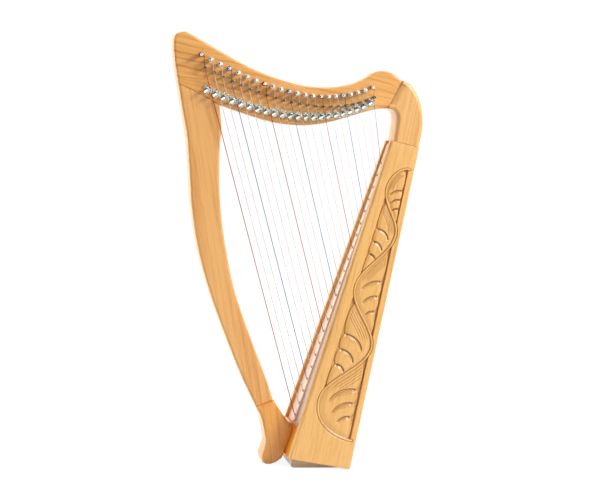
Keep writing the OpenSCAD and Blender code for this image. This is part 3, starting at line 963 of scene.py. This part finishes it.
def build_strings(shade):
    """All strings of one colour: knot, free length, bend at the bridge pin, and run to the tuning pin."""
    bm = bmesh.new()
    for i in range(1, STRINGS + 1):
        if shade_of(i) != shade:
            continue
        centre, bend, angle, around = coil_start(i)
        start = centre + Vector((math.cos(angle), 0, math.sin(angle))) * around
        mouth = MOUTHS[i - 1] - INWARD * 0.5 * MM
        knot = MOUTHS[i - 1] + INWARD * KNOT_DEPTH
        down = (mouth - bend).normalized()
        free = [knot] + rounded_corner(knot, mouth, bend, 1.0 * MM)
        free.append(bend + down * (LEVER_REACH + LEVER_TAPER))
        at_lever = [bend + down * LEVER_REACH] + rounded_corner(mouth, bend, start, 1.2 * MM)
        radius = string_radius(i)
        slim = string_radius(i, THICK_AT_LEVER, THIN_AT_LEVER)
        tube(bm, free + at_lever + [start], [radius] * len(free) + [slim] * len(at_lever) + [radius])
        lathe(bm, knot, INWARD, KNOT_PROFILE, sides=12)
    return piece(f"{shade}_strings", bm, NYLON[shade], "frame", f"strings_{shade}")


def square_ring(bm, x, y, z, half, cut):
    """A ring of eight points: a square with cut corners."""
    inner = half - cut
    spots = [(half, -inner), (half, inner), (inner, half), (-inner, half),
             (-half, inner), (-half, -inner), (-inner, -half), (inner, -half)]
    return [bm.verts.new((x + a, y, z + b)) for a, b in spots]


def build_tuning_pin(i):
    """A round pin with a tapering square head that has rounded edges."""
    name = f"tuning_pin_{i:02d}"
    centre, _, _, _ = coil_start(i)
    x, z = centre.x, centre.z
    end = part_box(name)[0][1]
    shank_end = end + HEAD_LENGTH
    out = NECK_FACE - shank_end
    bm = bmesh.new()
    shank = [(0, -PIN_IN_NECK), (PIN_RADIUS, -PIN_IN_NECK), (PIN_RADIUS, out - 0.5 * MM),
             (PIN_RADIUS - 0.5 * MM, out), (0, out)]
    lathe(bm, (x, NECK_FACE, z), (0, -1, 0), shank, sides=28)
    rings = [square_ring(bm, x, shank_end + 0.5 * MM, z, HEAD_ROOT, 0.3 * MM),
             square_ring(bm, x, end + 0.5 * MM, z, HEAD_END, 0.3 * MM),
             square_ring(bm, x, end + 0.12 * MM, z, HEAD_END - 0.15 * MM, 0.35 * MM),
             square_ring(bm, x, end, z, HEAD_END - 0.5 * MM, 0.4 * MM)]
    bridge_rings(bm, rings)
    bm.faces.new(rings[0])
    bm.faces.new(rings[-1])
    piece(f"peg_{i:02d}", bm, PIN_STEEL, name, name)


def build_coil(i):
    """The turns of a string round its tuning pin. They turn with the pin, and end inside it."""
    centre, _, angle, around = coil_start(i)
    radius = string_radius(i)
    rise = 2.06 * radius * COIL_TURNS
    steps = int(COIL_TURNS * COIL_STEPS_PER_TURN)
    path = []
    for share in (k / steps for k in range(steps + 1)):
        a = angle + 2 * math.pi * COIL_TURNS * share
        path.append(centre + Vector((around * math.cos(a), rise * share, around * math.sin(a))))
    path.append(centre + Vector((0, rise + 0.3 * MM, 0)))
    bm = bmesh.new()
    tube(bm, path, [radius] * len(path), sides=8)
    made = piece(f"coil_{i:02d}", bm, NYLON[shade_of(i)], f"tuning_pin_{i:02d}")


build_eyelets()
build_bridge_pins()
for shade in NYLON:
    build_strings(shade)
for i in range(1, STRINGS + 1):
    build_tuning_pin(i)
    build_coil(i)
    refined(f"sharping_lever_{i:02d}", f"lever_{i:02d}", NICKEL, f"lever_{i:02d}", 0.3 * MM)
refined("lever_plates", "lever_bases", PLATE, "frame", 0.2 * MM)


# ---------------------------------------------------------------- floor, light and camera

FLOOR_FRONT = -5.0
FLOOR_BACK = 2.2
FLOOR_BEND = 0.8
FLOOR_HALF_WIDTH = 6.0
BACKDROP_TOP = 5.0


def build_floor():
    """A plain pale sweep: flat under the harp, curving up behind it."""
    bm = bmesh.new()
    profile = [(FLOOR_FRONT, 0.0), (FLOOR_BACK, 0.0)]
    profile += [(FLOOR_BACK + FLOOR_BEND * math.sin(a), FLOOR_BEND - FLOOR_BEND * math.cos(a))
                for a in (math.pi / 2 * k / 10 for k in range(1, 11))]
    profile.append((FLOOR_BACK + FLOOR_BEND, BACKDROP_TOP))
    rings = [[bm.verts.new((x, y, z)) for x in (-FLOOR_HALF_WIDTH, FLOOR_HALF_WIDTH)] for y, z in profile]
    bridge_rings(bm, rings, closed=False)
    for face in bm.faces:
        face.smooth = True
    mesh = bpy.data.meshes.new("floor")
    bm.to_mesh(mesh)
    bm.free()
    floor = bpy.data.objects.new("floor", mesh)
    bpy.context.scene.collection.objects.link(floor)
    mesh.materials.append(floor_material())


def floor_material():
    """White paper that looks evenly lit to the camera, and glows as painted light in the wood's and metal's
    reflections.
    """
    material, tree = new_material("floor_white")
    ray = add(tree, "LightPath")
    seen = ray.outputs["Is Camera Ray"]
    # Painted light: the floor glows in glossy reflections, on top of its even brightness to the camera
    glow = math_node(tree, "ADD", seen, math_node(tree, "MULTIPLY", ray.outputs["Is Glossy Ray"], 1.3))
    white = mix(tree, seen, (0.52, 0.52, 0.52, 1), (0.14, 0.14, 0.14, 1))
    shader = add(tree, "BsdfPrincipled", [("Base Color", white), ("Roughness", 0.8),
                                          ("Emission Color", (1, 1, 1, 1)),
                                          ("Emission Strength", math_node(tree, "MULTIPLY", glow, 0.74))])
    output(tree, shader)
    return material


def area_light(name, place, target, size, power):
    light = bpy.data.lights.new(name, "AREA")
    light.shape = "RECTANGLE"
    light.size, light.size_y = size
    light.energy = power
    made = bpy.data.objects.new(name, light)
    made.location = place
    made.rotation_euler = (Vector(target) - Vector(place)).to_track_quat("-Z", "Y").to_euler()
    bpy.context.scene.collection.objects.link(made)


def build_light():
    """A key light from the right, cards for the left side and the metal, a top light and a soft sky."""
    middle = (-0.07, 0, 0.4)
    area_light("key", (3.0, -2.3, 2.6), middle, (1.3, 1.3), 144)
    area_light("left_card", (-2.6, 0.8, 0.9), middle, (1.2, 2.2), 43)
    area_light("metal_card", (0.65, -3.2, 0.88), (0.0, 0.0, 0.68), (1.3, 0.45), 2.8)
    area_light("top", (0.2, -0.2, 2.4), middle, (1.4, 1.4), 7)
    world = bpy.data.worlds.new("studio")
    bpy.context.scene.world = world
    world.use_nodes = True
    tree = world.node_tree
    height = add(tree, "SeparateXYZ", [("Vector", add(tree, "TexCoord").outputs["Generated"])]).outputs["Z"]
    background = tree.nodes["Background"]
    background.inputs["Color"].default_value = (0.97, 0.98, 1.0, 1)
    sky = math_node(tree, "ADD", math_node(tree, "MULTIPLY", ramp(tree, height, 0.05, 0.6), 0.32), 0.16)
    seen = add(tree, "LightPath").outputs["Is Camera Ray"]
    tree.links.new(math_node(tree, "MAXIMUM", sky, seen), background.inputs["Strength"])


def build_camera():
    """The camera, rolled because the harp leans clockwise in its picture."""
    place = Vector((-0.560, -2.038, 0.579))
    target = Vector((-0.052, 0.0, 0.392))
    roll = math.radians(3.8)
    camera = bpy.data.cameras.new("camera")
    camera.sensor_width = 36.0
    camera.lens = 70.4
    made = bpy.data.objects.new("camera", camera)
    heading = (target - place).to_track_quat("-Z", "Y").to_matrix()
    made.matrix_world = Matrix.Translation(place) @ (heading @ Matrix.Rotation(roll, 3, "Z")).to_4x4()
    bpy.context.scene.collection.objects.link(made)
    bpy.context.scene.camera = made


build_floor()
build_light()
build_camera()
bpy.context.scene.view_settings.view_transform = "Standard"
bpy.context.scene.view_settings.look = "Medium High Contrast"
